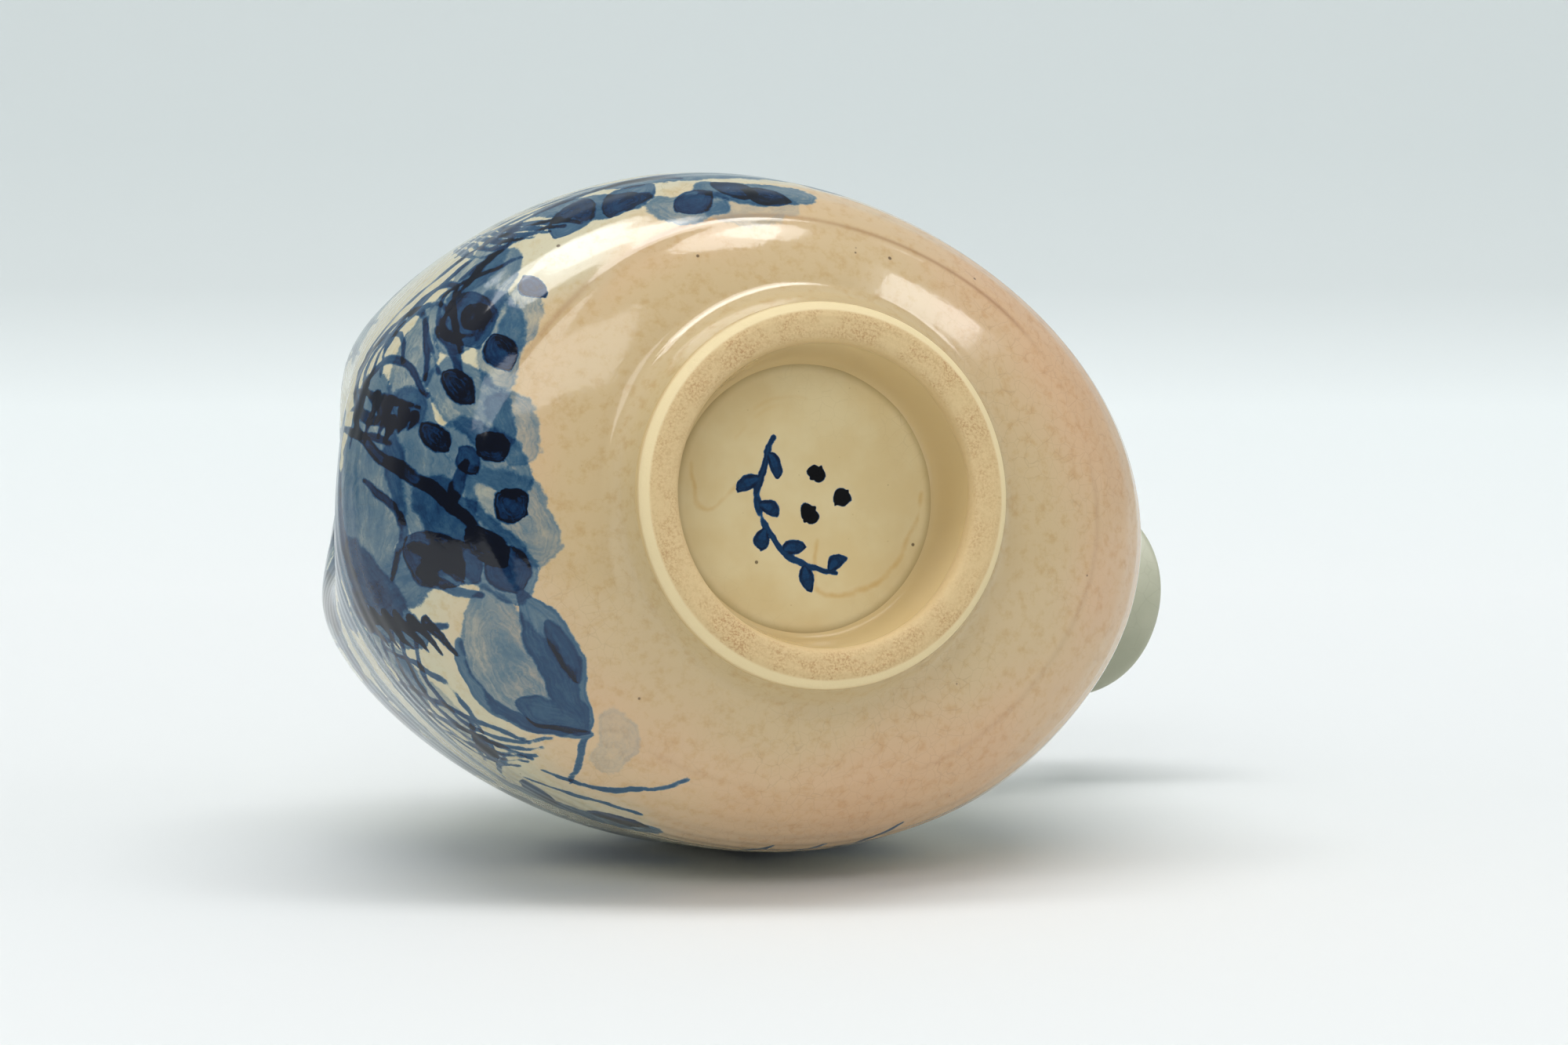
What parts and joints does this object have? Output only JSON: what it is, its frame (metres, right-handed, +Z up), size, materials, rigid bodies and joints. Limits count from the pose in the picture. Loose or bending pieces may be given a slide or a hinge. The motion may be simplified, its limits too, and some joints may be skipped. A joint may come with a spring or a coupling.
{
  "type": "sake bottle",
  "caption": "Oval pouch-shaped ceramic sake bottle on a turned foot ring, with a thumb dent and a short leaning neck that flares to a round mouth.",
  "frame": {"origin": "centre of the bounding box's bottom face, on the ground that the foot ring stands on", "axes": "+Z up from the foot, +X along the body's length towards the mouth, +Y across the body"},
  "size_m": [0.1342, 0.087, 0.1025],
  "materials": {
    "bare_clay": "unglazed turned clay, matte",
    "warm_glaze": "glossy clear glaze over warm beige clay with pink blush",
    "painted_glaze": "glossy clear glaze over cobalt blue brush painting",
    "neck_glaze": "satin grey-green glaze"
  },
  "bodies": {
    "root": {"foot_ring": "bare_clay", "lower_body": "warm_glaze", "upper_body": "painted_glaze", "neck": "neck_glaze", "mouth_rim": "neck_glaze"}
  },
  "joints": []
}
